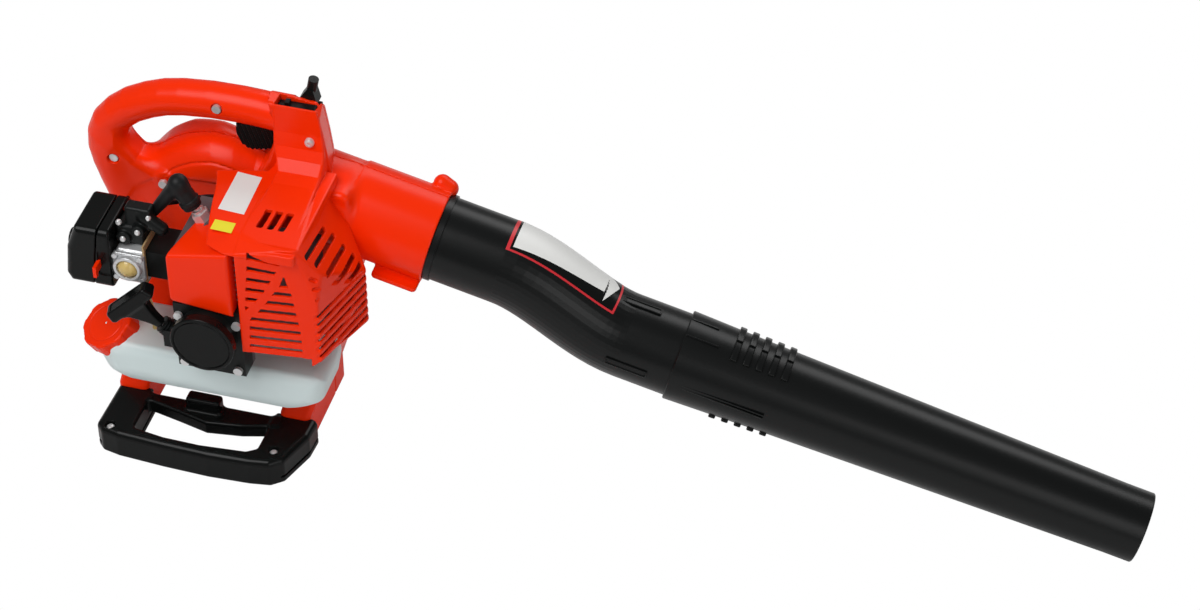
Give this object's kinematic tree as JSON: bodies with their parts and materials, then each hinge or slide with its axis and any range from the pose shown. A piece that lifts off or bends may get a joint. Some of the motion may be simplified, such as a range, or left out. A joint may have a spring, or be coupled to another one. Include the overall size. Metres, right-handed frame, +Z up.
{
  "type": "handheld leaf blower",
  "caption": "Handheld petrol leaf blower with a closed loop handle, side-mounted two-stroke engine, stand loop and a two-piece tapering blower pipe.",
  "frame": {"origin": "on the ground under the middle of the bounding box", "axes": "+X forward along the blower pipes, +Y to the machine's far side where the air inlet is, +Z up"},
  "size_m": [0.9508, 0.228, 0.3637],
  "materials": {
    "orange_plastic": "moulded, glossy",
    "black_plastic": "moulded, fine texture",
    "rubber": "satin",
    "clear_line": "amber, slightly clear",
    "tank_plastic": "milky, slightly clear",
    "white_plastic": "moulded",
    "rope": "braided",
    "foam": "open foam",
    "gasket": "fibre sheet",
    "aluminium": "die-cast",
    "steel": "machined",
    "coil": "potted"
  },
  "bodies": {
    "machine": {"fan_case_near": "orange_plastic", "fan_case_far": "orange_plastic", "intake_guard": "black_plastic", "engine_cover": "orange_plastic", "cylinder_cover": "orange_plastic", "crankcase": "aluminium", "finned_cylinder": "aluminium", "piston": "aluminium", "piston_ring": "steel", "wrist_pin": "steel", "connecting_rod": "steel", "crank_pin": "steel", "crank_bearings": "steel", "crank_seals": "rubber", "ignition_coil": "coil", "spark_plug": "steel", "plug_boot": "rubber", "ignition_lead": "rubber", "muffler": "steel", "muffler_gasket": "gasket", "insulator": "black_plastic", "intake_gasket": "gasket", "carburettor": "aluminium", "throttle_cable": "rubber", "air_box": "black_plastic", "air_filter": "foam", "air_cover": "black_plastic", "starter_housing": "black_plastic", "starter_disc": "black_plastic", "recoil_spring": "steel", "fuel_tank": "tank_plastic", "fuel_line": "clear_line", "fuel_filter": "white_plastic", "trigger_pin": "steel", "trigger_spring": "steel", "stand_loop": "black_plastic", "case_screws": "steel", "engine_screws": "steel"},
    "rotor": {"crankshaft": "steel", "flywheel": "aluminium", "impeller": "black_plastic", "impeller_nut": "steel"},
    "pull_grip": {"starter_grip": "black_plastic", "starter_rope": "rope"},
    "rope_pulley": {"starter_pulley": "white_plastic"},
    "trigger_body": {"trigger": "black_plastic"},
    "throttle": {"throttle_shaft": "steel"},
    "cruise": {"cruise_lever": "black_plastic"},
    "switch": {"stop_switch": "black_plastic"},
    "choke": {"choke_lever": "orange_plastic"},
    "primer": {"primer_bulb": "clear_line"},
    "cap_lift_body": {"cap_gasket": "rubber"},
    "cap": {"fuel_cap": "orange_plastic"},
    "knob": {"cover_knob": "black_plastic"},
    "bent_pipe": {"curved_pipe": "black_plastic"},
    "nozzle": {"nozzle_pipe": "black_plastic"}
  },
  "joints": [
    {"name": "crank_turn", "type": "hinge", "parent": "machine", "child": "rotor", "pos_m": [-0.32345, -0.048, 0.1855], "axis": [0, 1, 0], "continuous": true},
    {"name": "grip_pull", "type": "slide", "parent": "machine", "child": "pull_grip", "axis": [-0.6607, -0.2147, 0.7193], "range_m": [0, 0.6], "stiffness_N_per_m": 20, "springref_m": -0.3},
    {"name": "pulley_turn", "type": "hinge", "parent": "machine", "child": "rope_pulley", "pos_m": [-0.32345, -0.088, 0.1855], "axis": [0, 1, 0], "range_deg": [0, 1600]},
    {"name": "trigger_pull", "type": "hinge", "parent": "machine", "child": "trigger_body", "pos_m": [-0.29645, 0.036, 0.31], "axis": [0, 1, 0], "range_deg": [0, 16], "stiffness_Nm_per_rad": 0.6, "springref_deg": -8.59, "deforming": ["trigger_spring"]},
    {"name": "throttle_turn", "type": "hinge", "parent": "machine", "child": "throttle", "pos_m": [-0.3897, -0.057, 0.23], "axis": [0, 0, 1], "range_deg": [0, 70]},
    {"name": "cruise_turn", "type": "hinge", "parent": "machine", "child": "cruise", "pos_m": [-0.27145, 0.036, 0.33], "axis": [0, -1, 0], "range_deg": [0, 20]},
    {"name": "switch_slide", "type": "slide", "parent": "machine", "child": "switch", "axis": [1, 0, 0], "range_m": [0, 0.006]},
    {"name": "choke_turn", "type": "hinge", "parent": "machine", "child": "choke", "pos_m": [-0.42245, -0.057, 0.23], "axis": [-1, 0, 0], "range_deg": [0, 25]},
    {"name": "primer_push", "type": "slide", "parent": "machine", "child": "primer", "axis": [0, 1, 0], "range_m": [0, 0.004], "stiffness_N_per_m": 400, "springref_m": -0.002},
    {"name": "cap_turn", "type": "hinge", "parent": "cap_lift_body", "child": "cap", "pos_m": [-0.43545, -0.056, 0.133], "axis": [-0.3536, -0.3536, 0.866], "range_deg": [0, 900]},
    {"name": "cap_lift", "type": "slide", "parent": "machine", "child": "cap_lift_body", "axis": [-0.3536, -0.3536, 0.866], "range_m": [0, 0.0075]},
    {"name": "knob_turn", "type": "hinge", "parent": "machine", "child": "knob", "pos_m": [-0.45445, -0.057, 0.23], "axis": [1, 0, 0], "range_deg": [0, 720]},
    {"name": "pipe_swivel", "type": "hinge", "parent": "machine", "child": "bent_pipe", "pos_m": [-0.1603, 0.036, 0.22033], "axis": [0.9707, 0, -0.2402], "range_deg": [-90, 90]},
    {"name": "nozzle_twist", "type": "hinge", "parent": "bent_pipe", "child": "nozzle", "pos_m": [0.05435, 0.036, 0.13445], "axis": [0.9707, 0, -0.2402], "range_deg": [0, 40]}
  ],
  "couplings": [
    {"joint": "pulley_turn", "follows": "grip_pull", "rad_per_m": 46.296},
    {"joint": "throttle_turn", "follows": "trigger_pull", "ratio": 4.3},
    {"joint": "cap_lift", "follows": "cap_turn", "m_per_rad": 0.00047746}
  ]
}
